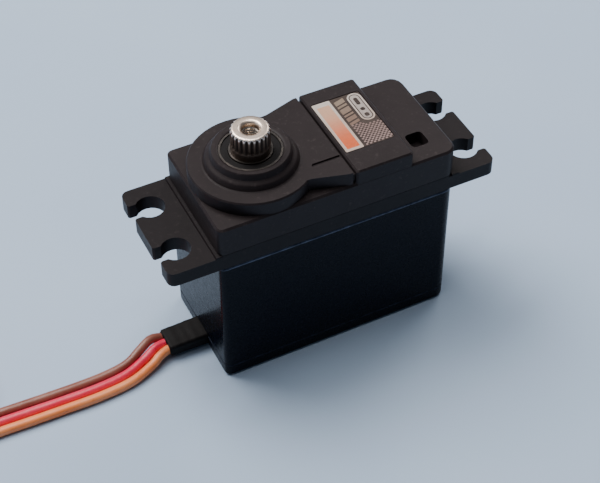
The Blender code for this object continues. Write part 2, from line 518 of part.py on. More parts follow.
bx, by = INNER_L / 2 - 0.3, INNER_W / 2 - 0.3
board_line = [(CASE_MID + (x - CASE_MID) * bx / (INNER_L / 2), y * by / (INNER_W / 2)) for x, y in inner_outline()]
solid("circuit_board", [(3.4, board_line), (4.4, board_line)], M_BOARD)
plate_at("controller_chip", -5.5, 0.5, -6.0, 0.0, 4.5, 5.6, 0.2, M_CHIP)
plate_at("driver_chip", -5.0, -0.5, 1.6, 5.6, 4.5, 5.6, 0.2, M_CHIP)
turned("capacitor", [(0, 4.5), (1.9, 4.5), (2.0, 4.9), (2.0, 9.6), (1.8, 9.9), (0, 9.9)], 20, M_CAN, (-13.2, -4.6))
plate_at("resonator", -15.4, -12.8, 3.6, 5.6, 4.5, 5.9, 0.3, M_CAN)

# ============================ lead ===========================================================
def smooth_line(points, step):
    """Points `step` apart along a Catmull-Rom curve through the given points."""
    p = [Vector(q) for q in points]
    p = [2 * p[0] - p[1]] + p + [2 * p[-1] - p[-2]]
    fine = []
    for a, b, c, d in zip(p, p[1:], p[2:], p[3:]):
        for k in range(16):
            t = k / 16
            fine.append(0.5 * (2 * b + (c - a) * t + (2 * a - 5 * b + 4 * c - d) * t * t + (3 * b - a - 3 * c + d) * t ** 3))
    fine.append(p[-2])
    total = sum((b - a).length for a, b in zip(fine, fine[1:]))
    n = max(2, round(total / step))
    out, run, want = [fine[0]], 0.0, total / n
    for a, b in zip(fine, fine[1:]):
        d = (b - a).length
        while run + d >= want * len(out) - 1e-9 and len(out) < n:
            out.append(a.lerp(b, (want * len(out) - run) / d if d else 0))
        run += d
    return out + [fine[-1]]


def tube(name, points, radius, mat):
    c = bpy.data.curves.new(name, "CURVE")
    c.dimensions = "3D"
    c.bevel_depth = radius * MM
    c.bevel_resolution = 2
    c.use_fill_caps = True
    s = c.splines.new("POLY")
    s.points.add(len(points) - 1)
    for q, p in zip(s.points, points):
        q.co = (p[0] * MM, p[1] * MM, p[2] * MM, 1)
    c.materials.append(mat)
    o = bpy.data.objects.new(name, c)
    bpy.context.scene.collection.objects.link(o)
    return o


FLOOR = WIRE_R + 0.01
STRANDS = {
    # the stretch on the surface, from the boot outwards
    "lead_brown": (-1, [(-26.2, 1.58, 1.50), (-27.8, 2.00, 1.95), (-30.1, 1.05, 1.65), (-32.6, -0.25, 1.0), (-36.5, -1.15, FLOOR),
                        (-41.0, -1.20, FLOOR), (-47.2, -1.05, FLOOR), (-54.0, -0.95, FLOOR)], M_BROWN),
    "lead_red": (0, [(-26.2, 0.0, 1.50), (-27.8, -0.42, 1.45), (-29.9, -1.50, 1.05), (-33.7, -2.70, FLOOR), (-38.5, -3.25, FLOOR),
                     (-44.0, -3.20, FLOOR), (-49.3, -3.00, FLOOR), (-54.5, -2.80, FLOOR)], M_RED),
    "lead_orange": (1, [(-26.2, -1.58, 1.50), (-27.6, -2.30, 1.35), (-29.2, -3.35, 1.00), (-33.5, -4.85, FLOOR), (-39.2, -5.25, FLOOR),
                        (-44.6, -5.10, FLOOR), (-50.0, -4.95, FLOOR), (-55.1, -4.65, FLOOR)], M_ORANGE),
}
MID_Z = FLOOR + COIL_LIFT + COIL_STEP          # height of the middle strand once the three stand in a stack


def stacked(k, x):
    """Strand k where the three roll from side by side to one above another, before the coil."""
    t = min(max((-57.0 - x) / 8.0, 0.0), 1.0)
    t = t * t * (3 - 2 * t)
    a = t * math.pi / 2
    pitch = 1.85 + (COIL_STEP - 1.85) * t
    z = FLOOR + (MID_Z - FLOOR) * math.sin(a)
    return (x, COIL[1] - COIL_R0 - k * pitch * math.cos(a), z + k * COIL_STEP * math.sin(a))


for nm, (k, pts, mat) in STRANDS.items():
    ends = (-57.0,) if k < 0 else (-57.0, -58.3, -59.4)
    route = pts + [stacked(k, x) for x in ends]
    tube(nm, smooth_line(route, 2.8), WIRE_R, mat)

RING_IN, RING_OUT = 5.3, COIL_R0 + WIRE_R + 0.05
turned("lead_coil", [(RING_IN, COIL_LIFT), (RING_OUT, COIL_LIFT), (RING_OUT, MID_Z + COIL_STEP + WIRE_R + 0.05),
                     (RING_IN, MID_Z + COIL_STEP + WIRE_R + 0.05)], 40, M_BROWN, COIL)

# the inner end of the stored length climbs out of the coil and rolls flat again into the connector
COIL_TOP = MID_Z + COIL_STEP + WIRE_R + 0.05
TAIL_R = 3.9
TAIL_Z = COIL_TOP + 0.15 + WIRE_R + COIL_STEP
PLUG_X, PLUG_Y = COIL[0] - 5.2, COIL[1] - TAIL_R
PLUG_L, PLUG_W, PLUG_H = 14.0, 7.8, 2.7
PLUG_Z0 = COIL_TOP + 0.15


def tail(k):
    """Strand k from inside the coil to the connector's back face."""
    pts = []
    for i in range(17):
        t = i / 16
        a = math.radians(250 - 340 * t)
        r = TAIL_R
        lift = t * t * (3 - 2 * t)
        pts.append((COIL[0] + r * math.cos(a), COIL[1] + r * math.sin(a),
                    MID_Z + (TAIL_Z - MID_Z) * lift + k * COIL_STEP))
    for i in range(1, 6):
        t = i / 5
        u = t * t * (3 - 2 * t)
        x = COIL[0] + (PLUG_X + 0.3 - COIL[0]) * t
        z = TAIL_Z + (PLUG_Z0 + PLUG_H / 2 - TAIL_Z) * u
        pitch = COIL_STEP + (2.54 - COIL_STEP) * u
        pts.append((x, PLUG_Y - k * pitch * math.sin(u * math.pi / 2), z + k * COIL_STEP * math.cos(u * math.pi / 2)))
    return pts


for nm, (k, pts, mat) in STRANDS.items():
    tube(nm + "_end", smooth_line(tail(k), 1.6), WIRE_R, mat)

b = bmesh.new()
rows = []
for x, hw, h in ((PLUG_X - PLUG_L, PLUG_W / 2 - 0.2, PLUG_H / 2 - 0.2), (PLUG_X - PLUG_L + 0.2, PLUG_W / 2, PLUG_H / 2),
                 (PLUG_X - 0.3, PLUG_W / 2, PLUG_H / 2), (PLUG_X, PLUG_W / 2 - 0.3, PLUG_H / 2 - 0.3)):
    rows.append([b.verts.new((x * MM, (PLUG_Y + y) * MM, (PLUG_Z0 + PLUG_H / 2 + z) * MM))
                 for y, z in ((-hw, -h), (hw, -h), (hw, h), (-hw, h))])
for p, q in zip(rows, rows[1:]):
    for i in range(4):
        j = (i + 1) % 4
        b.faces.new((p[i], p[j], q[j], q[i]))
b.faces.new(rows[0][::-1])
b.faces.new(rows[-1])
plug = finish("connector_body", b, M_PLUG)


def box(name, x0, x1, y0, y1, z0, z1, mat):
    return solid(name, [(z0, [(x0, y0), (x1, y0), (x1, y1), (x0, y1)]), (z1, [(x0, y0), (x1, y0), (x1, y1), (x0, y1)])], mat)


zm = PLUG_Z0 + PLUG_H / 2
for k in (-1, 0, 1):
    y = PLUG_Y - k * 2.54
    cut(plug, box(f"c_plug_hole{k + 1}", PLUG_X - PLUG_L - 1, PLUG_X - 1.6, y - 0.85, y + 0.85, zm - 0.85, zm + 0.85, M_PLUG))
    cut(plug, box(f"c_plug_back{k + 1}", PLUG_X - 2.2, PLUG_X + 1, y - 0.8, y + 0.8, zm - 0.8, zm + 0.8, M_PLUG))
    cut(plug, box(f"c_plug_window{k + 1}", PLUG_X - 9.4, PLUG_X - 6.8, y - 0.55, y + 0.55, zm, zm + 3, M_PLUG))
    c = box(f"contact_{k + 2}", PLUG_X - PLUG_L + 0.5, PLUG_X - 3.2, y - 0.65, y + 0.65, zm - 0.65, zm + 0.65, M_GOLD)
    cut(c, box(f"c_contact{k + 1}", PLUG_X - PLUG_L, PLUG_X - 7.0, y - 0.42, y + 0.42, zm - 0.42, zm + 0.42, M_GOLD))

# tie round the coil's section, on the side away from the case
TIE_A = math.radians(125)
tw, tt = 1.0, 0.3
ex, ey = math.cos(TIE_A), math.sin(TIE_A)
r0, r1, z0, z1 = RING_IN - 0.2, RING_OUT + 0.2, COIL_LIFT - 0.08, COIL_TOP + 0.08
b = bmesh.new()
rows = []
for (ra, za) in ((r0, z0), (r1, z0), (r1, z1), (r0, z1)):
    row = []
    for (dr, dz) in ((0, 0), (1, 1)):
        rr = ra + (tt if ra > 7 else -tt) * dr
        zz = za + (tt if za > 2 else -tt) * dz
        for w in (-tw, tw):
            row.append(b.verts.new(((COIL[0] + rr * ex - w * ey) * MM, (COIL[1] + rr * ey + w * ex) * MM, zz * MM)))
    rows.append([row[0], row[1], row[3], row[2]])
for i in range(4):
    p, q = rows[i], rows[(i + 1) % 4]
    for j in range(4):
        b.faces.new((p[j], p[(j + 1) % 4], q[(j + 1) % 4], q[j]))
finish("lead_tie", b, M_TIE)
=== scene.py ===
import json
import math
import random

import bmesh
import bpy
from mathutils import Matrix, Vector


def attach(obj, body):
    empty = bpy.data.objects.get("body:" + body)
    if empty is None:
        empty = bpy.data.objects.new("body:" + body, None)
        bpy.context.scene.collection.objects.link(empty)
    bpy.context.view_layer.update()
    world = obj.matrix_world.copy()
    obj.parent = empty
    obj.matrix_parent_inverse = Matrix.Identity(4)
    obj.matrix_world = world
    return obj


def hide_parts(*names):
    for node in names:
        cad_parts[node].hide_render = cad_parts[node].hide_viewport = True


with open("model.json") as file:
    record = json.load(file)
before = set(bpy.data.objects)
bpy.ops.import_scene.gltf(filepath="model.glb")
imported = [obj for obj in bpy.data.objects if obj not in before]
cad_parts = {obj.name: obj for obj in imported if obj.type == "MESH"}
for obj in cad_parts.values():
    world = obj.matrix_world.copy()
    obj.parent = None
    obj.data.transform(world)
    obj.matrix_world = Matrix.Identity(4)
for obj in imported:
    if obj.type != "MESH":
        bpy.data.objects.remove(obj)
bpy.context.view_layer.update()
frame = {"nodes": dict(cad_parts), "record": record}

MM = 0.001
NODES = frame["nodes"]
SCENE = bpy.context.scene


# =============================================================================================
# camera, at the picture's angle
# =============================================================================================
def add_camera():
    yaw, pitch, roll = math.radians(64.06), math.radians(45.67), math.radians(-0.53)
    d = Vector((math.cos(pitch) * math.cos(yaw), math.cos(pitch) * math.sin(yaw), -math.sin(pitch)))
    r = d.cross(Vector((0, 0, 1))).normalized()
    u = r.cross(d)
    c, s = math.cos(roll), math.sin(roll)
    r2, u2 = c * r + s * u, -s * r + c * u
    data = bpy.data.cameras.new("main_camera")
    data.sensor_width = 36
    data.lens = 89.43
    data.clip_start, data.clip_end = 0.01, 20
    cam = bpy.data.objects.new("main_camera", data)
    SCENE.collection.objects.link(cam)
    m = Matrix((r2, u2, -d)).transposed().to_4x4()
    m.translation = Vector((-74.18, -148.96, 183.21)) * MM
    cam.matrix_world = m
    SCENE.camera = cam


add_camera()

# =============================================================================================
# small node language for materials; all texture space is the object's own, in millimetres
# =============================================================================================
class Mat:
    def __init__(self, name):
        self.m = bpy.data.materials.new(name)
        self.m.use_nodes = True
        self.t = self.m.node_tree
        self.t.nodes.clear()
        self.out = self.t.nodes.new("ShaderNodeOutputMaterial")
        self.b = self.t.nodes.new("ShaderNodeBsdfPrincipled")
        self.t.links.new(self.b.outputs["BSDF"], self.out.inputs["Surface"])
        tc = self.t.nodes.new("ShaderNodeTexCoord")
        v = self.t.nodes.new("ShaderNodeVectorMath")
        v.operation = "SCALE"
        v.inputs["Scale"].default_value = 1000.0
        self.t.links.new(tc.outputs["Object"], v.inputs[0])
        self.mm = v.outputs[0]
        self.last_normal = None

    def put(self, sock, val):
        if isinstance(val, bpy.types.NodeSocket):
            self.t.links.new(val, sock)
        elif isinstance(val, (tuple, list)) and len(val) == 3 and len(sock.default_value) == 4:
            sock.default_value = (*val, 1.0)
        else:
            sock.default_value = val

    def node(self, kind, ins=(), **props):
        n = self.t.nodes.new(kind)
        for k, v in props.items():
            setattr(n, k, v)
        for k, v in (ins.items() if isinstance(ins, dict) else enumerate(ins)):
            if v is not None:
                self.put(n.inputs[k], v)
        return n

    def math(self, op, *a, clamp=False):
        return self.node("ShaderNodeMath", a, operation=op, use_clamp=clamp).outputs[0]

    def add(self, a, b):
        return self.math("ADD", a, b)

    def sub(self, a, b):
        return self.math("SUBTRACT", a, b)

    def mul(self, a, b):
        return self.math("MULTIPLY", a, b)

    def remap(self, v, a, b, c, d):
        return self.node("ShaderNodeMapRange", [v, a, b, c, d]).outputs[0]

    def smooth(self, v, a, b):
        n = self.node("ShaderNodeMapRange", [v, a, b, 0.0, 1.0])
        n.interpolation_type = "SMOOTHSTEP"
        return n.outputs[0]

    def xyz(self, v=None):
        n = self.node("ShaderNodeSeparateXYZ", [v or self.mm])
        return n.outputs[0], n.outputs[1], n.outputs[2]

    def join(self, x, y, z):
        return self.node("ShaderNodeCombineXYZ", [x, y, z]).outputs[0]

    def stretch(self, sx, sy, sz, v=None):
        return self.node("ShaderNodeVectorMath", [v or self.mm, (sx, sy, sz)], operation="MULTIPLY").outputs[0]

    def noise(self, scale, detail=2.0, rough=0.5, v=None, dist=0.0):
        n = self.node("ShaderNodeTexNoise", {"Vector": v or self.mm, "Scale": scale, "Detail": detail,
                                             "Roughness": rough, "Distortion": dist})
        return n.outputs[0]

    def voronoi(self, scale, v=None, feature="F1"):
        return self.node("ShaderNodeTexVoronoi", {"Vector": v or self.mm, "Scale": scale}, feature=feature).outputs[0]

    def mix(self, f, a, b):
        n = self.t.nodes.new("ShaderNodeMix")
        n.data_type = "RGBA"
        self.put(n.inputs[0], f)
        self.put(n.inputs[6], a)
        self.put(n.inputs[7], b)
        return n.outputs[2]

    def bump(self, height, distance, strength=1.0):
        """Adds one layer of relief; distance is in millimetres per unit of height."""
        n = self.node("ShaderNodeBump", {"Strength": strength, "Distance": distance * MM, "Height": height})
        if self.last_normal:
            self.t.links.new(self.last_normal, n.inputs["Normal"])
        self.last_normal = n.outputs[0]

    def edge(self, radius, power=1.0):
        """About 1 along convex and concave edges, 0 on open faces."""
        bv = self.node("ShaderNodeBevel", {"Radius": radius * MM}, samples=6)
        g = self.t.nodes.new("ShaderNodeNewGeometry")
        dt = self.node("ShaderNodeVectorMath", [bv.outputs[0], g.outputs["Normal"]], operation="DOT_PRODUCT").outputs["Value"]
        e = self.sub(1.0, dt)
        return self.smooth(e, 0.01, 0.16 / power)

    def done(self, color=None, rough=None, metal=None, **const):
        if color is not None:
            self.put(self.b.inputs["Base Color"], color)
        if rough is not None:
            self.put(self.b.inputs["Roughness"], rough)
        if metal is not None:
            self.put(self.b.inputs["Metallic"], metal)
        for k, v in const.items():
            self.put(self.b.inputs[k.replace("_", " ")], v)
        if self.last_normal:
            self.t.links.new(self.last_normal, self.b.inputs["Normal"])
        return self.m


def moulded(name, base, light, rough, grain, spec=0.5, wear=0.5, tone=0.18, scratches=0.4, dust=0.35, wave=0.02, painted_highlight_bands=()):
    """Moulded plastic: spark-eroded grain, slow tone change, rubbed edges, fine handling scratches, and optional
    painted highlight lines along joints.
    """
    m = Mat(name)
    slow = m.noise(0.22, 3, 0.6)
    fine = m.noise(9.0, 2, 0.55)
    cell = m.voronoi(5.5)
    blotch = m.noise(1.3, 4, 0.65)
    col = m.mix(m.remap(slow, 0.3, 0.7, 0.0, 1.0), base, tuple(c * (1 + tone) for c in base))
    col = m.mix(m.mul(m.smooth(blotch, 0.55, 0.75), dust), col, light)
    speck = m.mul(m.smooth(m.noise(9.0, 1, 0.5), 0.76, 0.82), dust)
    col = m.mix(speck, col, light)
    e = m.mul(m.edge(0.16), m.remap(m.noise(2.1, 3, 0.7), 0.35, 0.7, 0.25, 1.0))
    col = m.mix(m.mul(e, wear), col, light)
    scr = m.smooth(m.noise(1.0, 2, 0.6, m.stretch(0.35, 9.0, 9.0, m.node("ShaderNodeVectorRotate", {"Vector": m.mm, "Angle": 0.5}, rotation_type="Z_AXIS").outputs[0])), 0.68, 0.72)
    r = m.remap(blotch, 0.3, 0.7, rough - 0.05, rough + 0.07)
    r = m.add(r, m.mul(scr, 0.12 * scratches))
    r = m.sub(r, m.mul(e, 0.08))
    col = m.mix(m.mul(scr, 0.25 * scratches), col, light)
    for z0, z1, much in painted_highlight_bands:                     # painted highlights: pale lines along a joint, standing in for a ledge catching the light
        z = m.xyz()[2]
        b = m.mul(m.smooth(z, z0, z0 + 0.06), m.sub(1.0, m.smooth(z, z1 - 0.06, z1)))
        col = m.mix(m.mul(m.mul(b, much), m.remap(m.noise(0.5, 3, 0.6), 0.35, 0.65, 0.35, 1.0)), col, tuple(min(1, c * 6.0) for c in light))
    m.bump(m.add(m.mul(fine, 0.6), m.mul(cell, 0.6)), grain)
    m.bump(m.noise(0.6, 2, 0.5), wave)
    m.bump(m.mul(scr, -1.0), 0.004 * scratches)
    return m.done(col, r, 0.0, Specular_IOR_Level=spec)


def metal(name, base, dark, rough, turned_at=None, brushed=None, grain=0.002, tarnish=0.3, edges=0.3):
    """Bare metal: lathe rings about an axis or brushing along one, tarnish in patches, brighter edges."""
    m = Mat(name)
    x, y, z = m.xyz()
    if turned_at:
        dx, dy = m.sub(x, turned_at[0]), m.sub(y, turned_at[1])
        r = m.math("SQRT", m.add(m.mul(dx, dx), m.mul(dy, dy)))
        line = m.noise(1.0, 3, 0.7, m.join(m.mul(r, 16.0), m.mul(z, 16.0), 0.0))
    elif brushed:
        line = m.noise(1.0, 3, 0.7, m.stretch(*brushed))
    else:
        line = m.noise(14.0, 2, 0.6)
    patch = m.noise(0.9, 4, 0.65)
    spots = m.smooth(m.noise(5.0, 2, 0.6), 0.66, 0.76)
    col = m.mix(m.mul(m.smooth(patch, 0.42, 0.7), tarnish), base, dark)
    col = m.mix(m.mul(spots, tarnish * 0.8), col, dark)
    col = m.mix(m.mul(m.sub(line, 0.5), 0.5), col, tuple(c * 0.55 for c in base))
    col = m.mix(m.mul(m.edge(0.08), edges), col, tuple(min(1, c * 1.25) for c in base))
    rr = m.remap(line, 0.3, 0.7, rough - 0.06, rough + 0.10)
    rr = m.add(rr, m.mul(m.smooth(patch, 0.45, 0.7), 0.12))
    m.bump(line, grain)
    m.bump(m.noise(3.0, 2, 0.5), 0.006)
    return m.done(col, rr, 1.0)


def insulation(name, base, pale, dirt):
    """Soft wire insulation: slightly uneven extrusion, handling marks, a waxy surface."""
    m = Mat(name)
    slow = m.noise(0.25, 3, 0.6)
    fine = m.noise(6.0, 3, 0.6)
    col = m.mix(m.remap(slow, 0.35, 0.65, 0.0, 0.5), base, pale)
    col = m.mix(m.mul(m.smooth(m.noise(1.6, 4, 0.7), 0.56, 0.78), 0.45), col, dirt)
    m.bump(fine, 0.006)
    m.bump(m.noise(0.9, 2, 0.5), 0.05)
    return m.done(col, m.remap(fine, 0.3, 0.7, 0.28, 0.42), 0.0, Specular_IOR_Level=0.5)


M = {}
M["cover_plastic"] = moulded("cover_plastic", (0.0178, 0.0130, 0.0142), (0.074, 0.057, 0.058), 0.50, 0.006, 0.17, 0.40)
# painted shade: a darker copy of the cover plastic for the mounting frame, the same plastic made darker where less
# light reaches the ears
M["cover_plastic_painted_shade"] = moulded("cover_plastic_painted_shade", (0.0105, 0.0080, 0.0092), (0.048, 0.037, 0.039), 0.47, 0.006, 0.14, 0.40)
# the case plastic's two bands are painted highlights: pale lines at the frame seam and at the bottom-cover seam
M["case_plastic"] = moulded("case_plastic", (0.0026, 0.0034, 0.0075), (0.022, 0.026, 0.038), 0.27, 0.0002, 0.075, 0.30, scratches=0.5, dust=0.08, wave=0.005,
                            painted_highlight_bands=((24.02, 24.38, 1.0), (2.16, 2.42, 0.3)))
M["boot_rubber"] = moulded("boot_rubber", (0.0040, 0.0031, 0.0035), (0.024, 0.019, 0.020), 0.58, 0.012, 0.18, 0.35)
M["tie_nylon"] = moulded("tie_nylon", (0.012, 0.012, 0.013), (0.06, 0.06, 0.062), 0.42, 0.004, 0.45, 0.4)
M["connector_plastic"] = moulded("connector_plastic", (0.013, 0.013, 0.014), (0.07, 0.07, 0.072), 0.44, 0.006, 0.45, 0.6)
M["motor_plastic"] = moulded("motor_plastic", (0.02, 0.02, 0.022), (0.08, 0.08, 0.085), 0.5, 0.006, 0.45, 0.5)
M["chip"] = moulded("chip", (0.018, 0.018, 0.020), (0.07, 0.07, 0.07), 0.55, 0.008, 0.4, 0.4)
M["pot_resin"] = moulded("pot_resin", (0.022, 0.034, 0.10), (0.06, 0.08, 0.18), 0.48, 0.006, 0.45, 0.4)
M["magnet"] = metal("magnet", (0.16, 0.16, 0.17), (0.07, 0.06, 0.055), 0.46, grain=0.006, tarnish=0.5)
M["screw_steel"] = metal("screw_steel", (0.46, 0.455, 0.45), (0.17, 0.15, 0.13), 0.32, grain=0.003, tarnish=0.45, edges=0.5)
# painted shade: bearing steel is made much darker than bare steel so the upper bearing reads as dark as the shaded
# recess round the output shaft
M["bearing_steel"] = metal("bearing_steel", (0.16, 0.145, 0.136), (0.085, 0.068, 0.058), 0.30, turned_at=(-9.6, 0.0), grain=0.0015, tarnish=0.45)
M["shaft_metal"] = metal("shaft_metal", (0.74, 0.66, 0.58), (0.34, 0.25, 0.18), 0.24, turned_at=(-9.6, 0.0), grain=0.002, tarnish=0.35, edges=0.5)


def splined_metal():
    """Nickelled shaft end: bright top rim and tops of the tooth crests, with painted shade in dark brown on the
    spline's sides, between the teeth and on the collar below them.
    """
    m = Mat("shaft_spline")
    x, y, z = m.xyz()
    dx, dy = m.add(x, 9.6), m.sub(y, 0.0)
    r = m.math("SQRT", m.add(m.mul(dx, dx), m.mul(dy, dy)))
    turned = m.noise(1.0, 3, 0.7, m.join(m.mul(r, 12.0), m.mul(z, 12.0), 0.0))
    drawn = m.noise(1.0, 3, 0.7, m.stretch(9.0, 9.0, 0.5))
    patch = m.noise(1.1, 4, 0.65)
    # painted shade: dark brown between the teeth and on the collar below them
    valley_shade = m.mul(m.sub(1.0, m.smooth(r, 2.76, 2.955)), m.mul(m.smooth(r, 2.45, 2.60), m.sub(1.0, m.smooth(z, 40.35, 40.62))))
    collar_shade = m.mul(m.sub(1.0, m.smooth(z, 37.6, 38.5)), 0.75)
    hole = m.mul(m.sub(1.0, m.smooth(r, 1.32, 1.75)), m.sub(1.0, m.smooth(z, 40.0, 40.7)))
    # painted shade: the spline's sides below the top rim are darkened, so only the top reads as lit
    side = m.mul(m.smooth(r, 2.5, 2.66), m.sub(1.0, m.smooth(z, 40.05, 40.5)))
    col = m.mix(m.mul(m.smooth(patch, 0.42, 0.7), 0.4), (0.94, 0.79, 0.68), (0.80, 0.60, 0.46))
    col = m.mix(m.mul(side, 0.94), col, (0.125, 0.078, 0.052))
    col = m.mix(m.mul(m.sub(drawn, 0.5), 0.6), col, (0.40, 0.29, 0.20))
    col = m.mix(valley_shade, col, (0.040, 0.022, 0.014))
    col = m.mix(collar_shade, col, (0.050, 0.032, 0.024))
    col = m.mix(m.mul(hole, 0.7), col, (0.20, 0.115, 0.045))
    rr = m.add(m.remap(turned, 0.3, 0.7, 0.28, 0.42), m.mul(m.math("MAXIMUM", valley_shade, collar_shade), 0.18))
    m.bump(turned, 0.0015)
    m.bump(drawn, 0.002)
    return m.done(col, rr, m.sub(1.0, m.mul(m.math("MAXIMUM", valley_shade, collar_shade), 0.45)))


M["shaft_spline"] = splined_metal()
M["gear_brass"] = metal("gear_brass", (0.72, 0.50, 0.22), (0.38, 0.22, 0.09), 0.28, grain=0.002, tarnish=0.35)
M["pinion_steel"] = metal("pinion_steel", (0.42, 0.42, 0.43), (0.20, 0.18, 0.17), 0.30, grain=0.002)
M["motor_steel"] = metal("motor_steel", (0.55, 0.55, 0.56), (0.28, 0.26, 0.24), 0.30, brushed=(0.6, 0.6, 14.0), grain=0.003)
M["winding"] = metal("winding", (0.62, 0.27, 0.12), (0.28, 0.10, 0.04), 0.34, brushed=(1.0, 1.0, 9.0), grain=0.02)
M["tin"] = metal("tin", (0.66, 0.65, 0.63), (0.34, 0.32, 0.29), 0.30, grain=0.003)
M["contact_gold"] = metal("contact_gold", (0.86, 0.62, 0.24), (0.45, 0.28, 0.10), 0.22, grain=0.0015, tarnish=0.2)
M["wire_brown"] = insulation("wire_brown", (0.23, 0.068, 0.045), (0.38, 0.18, 0.135), (0.095, 0.030, 0.020))
M["wire_red"] = insulation("wire_red", (0.80, 0.010, 0.070), (0.86, 0.11, 0.17), (0.28, 0.010, 0.02))
M["wire_orange"] = insulation("wire_orange", (0.98, 0.25, 0.065), (0.97, 0.40, 0.18), (0.50, 0.13, 0.04))


def board_material():
    m = Mat("board")
    x, y, z = m.xyz()
    track = m.smooth(m.math("ABSOLUTE", m.sub(m.math("FRACT", m.mul(m.add(x, m.mul(m.math("FLOOR", m.mul(y, 0.8)), 0.31)), 1.1)), 0.5)), 0.30, 0.34)
    mask = m.mul(track, m.smooth(m.noise(0.5, 1, 0.5), 0.45, 0.50))
    col = m.mix(mask, (0.006, 0.055, 0.022), (0.014, 0.12, 0.05))
    col = m.mix(m.mul(m.smooth(m.noise(2.5, 4, 0.7), 0.55, 0.75), 0.4), col, (0.03, 0.10, 0.05))
    m.bump(mask, 0.03)
    m.bump(m.noise(12.0, 2, 0.5), 0.004)
    return m.done(col, m.remap(m.noise(2.0, 3, 0.6), 0.3, 0.7, 0.28, 0.45), 0.0)


M["board"] = board_material()


def foil(name, lo, hi, metallic, rough, along=None, grain=0.003, tarnish=(0.25, 0.2, 0.16)):
    """Printed foil: fine satin lines, scuffs, colour changing along one direction."""
    m = Mat(name)
    x, y, z = m.xyz()
    t = m.smooth(y, *along) if along else m.remap(m.noise(0.3, 2, 0.5), 0.35, 0.65, 0.0, 1.0)
    col = m.mix(t, lo, hi)
    line = m.noise(1.0, 2, 0.6, m.stretch(1.2, 24.0, 1.0))
    col = m.mix(m.mul(m.sub(line, 0.35), 0.35), col, tuple(c * 0.7 for c in lo))
    scuff = m.smooth(m.noise(1.9, 4, 0.7), 0.56, 0.74)
    col = m.mix(m.mul(scuff, 0.30), col, tarnish)
    m.bump(line, grain)
    m.bump(m.noise(5.0, 2, 0.5), 0.004)
    return m.done(col, m.remap(m.noise(3.0, 3, 0.6), 0.3, 0.7, rough - 0.06, rough + 0.1), metallic, Coat_Weight=0.15)


M["label_print"] = foil("label_print", (0.040, 0.026, 0.022), (0.070, 0.048, 0.040), 0.25, 0.38)
LABEL_CREAM = foil("label_cream", (0.60, 0.48, 0.41), (0.68, 0.60, 0.54), 0.30, 0.36, (0.0, 5.0))
LABEL_COPPER = foil("label_copper", (0.78, 0.155, 0.055), (0.72, 0.44, 0.30), 0.32, 0.36, (-3.4, 4.8))
LABEL_BRONZE = foil("label_bronze", (0.27, 0.175, 0.135), (0.33, 0.25, 0.19), 0.45, 0.36, (0.0, 6.0))
LABEL_PALE = foil("label_pale", (0.42, 0.36, 0.33), (0.50, 0.44, 0.40), 0.35, 0.38, (0.0, 6.0))
LABEL_ROSE = foil("label_rose", (0.36, 0.25, 0.235), (0.30, 0.20, 0.18), 0.4, 0.36, (-5.0, 1.0))

# the record's slot on each CAD node becomes its finished material
for part in frame["record"]["subparts"]:
    ob = NODES[part["node"]]
    # the mounting frame takes the darker copy of the cover plastic, painted shade
    mat = M["cover_plastic_painted_shade" if part["node"] == "mounting_frame" else part["material_slot"]]
    if len(ob.data.materials) == 0:
        ob.data.materials.append(mat)
    for i in range(len(ob.data.materials)):
        ob.data.materials[i] = mat


# =============================================================================================
# making pieces
# =============================================================================================
def link(name, me, mats, body, smooth=35):
    ob = bpy.data.objects.new(name, me)
    SCENE.collection.objects.link(ob)
    for mt in mats if isinstance(mats, (list, tuple)) else [mats]:
        me.materials.append(mt)
    if smooth:
        me.shade_smooth()
        me.set_sharp_from_angle(angle=math.radians(smooth))
    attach(ob, body)
    return ob


def from_bm(name, bm, mats, body, smooth=35):
    bmesh.ops.recalc_face_normals(bm, faces=bm.faces)
    me = bpy.data.meshes.new(name)
    bm.to_mesh(me)
    bm.free()
    return link(name, me, mats, body, smooth)


def loft(bm, rows, caps=True, mat=0):
    """Skin through rings of points in mm."""
    vr = [[bm.verts.new(Vector(p) * MM) for p in row] for row in rows]
    n = len(vr[0])
    for a, b in zip(vr, vr[1:]):
        for i in range(n):
            j = (i + 1) % n
            bm.faces.new((a[i], a[j], b[j], b[i])).material_index = mat
    if caps:
        bm.faces.new(vr[0][::-1]).material_index = mat
        bm.faces.new(vr[-1]).material_index = mat
    return vr


# edges of the moulded CAD pieces get real small radii, so that they catch the light
def soften(node, width, angle=28, segments=3):
    ob = NODES[node]
    w = ob.modifiers.new("join", "WELD")
    w.merge_threshold = 0.000002
    d = ob.modifiers.new("flat", "DECIMATE")
    d.decimate_type = "DISSOLVE"
    d.angle_limit = math.radians(0.6)
    b = ob.modifiers.new("edges", "BEVEL")
    b.width = width * MM
    b.segments = segments
    b.limit_method = "ANGLE"
    b.angle_limit = math.radians(angle)
    b.use_clamp_overlap = True
    b.harden_normals = False
    n = ob.modifiers.new("shade", "WEIGHTED_NORMAL")
    n.keep_sharp = False
    n.weight = 60
    return ob


def route(points, step):
    """Points `step` apart along a Catmull-Rom curve through the given points, all in mm."""
    p = [Vector(q) for q in points]
    p = [2 * p[0] - p[1]] + p + [2 * p[-1] - p[-2]]
    fine = []
    for a, b, c, d in zip(p, p[1:], p[2:], p[3:]):
        for k in range(16):
            t = k / 16
            fine.append(0.5 * (2 * b + (c - a) * t + (2 * a - 5 * b + 4 * c - d) * t * t + (3 * b - a - 3 * c + d) * t ** 3))
    fine.append(p[-2])
    total = sum((b - a).length for a, b in zip(fine, fine[1:]))
    n = max(2, round(total / step))
    out, run, want = [fine[0]], 0.0, total / n
    for a, b in zip(fine, fine[1:]):
        dd = (b - a).length
        while run + dd >= want * len(out) - 1e-9 and len(out) < n:
            out.append(a.lerp(b, (want * len(out) - run) / dd if dd else 0))
        run += dd
    return out + [fine[-1]], total


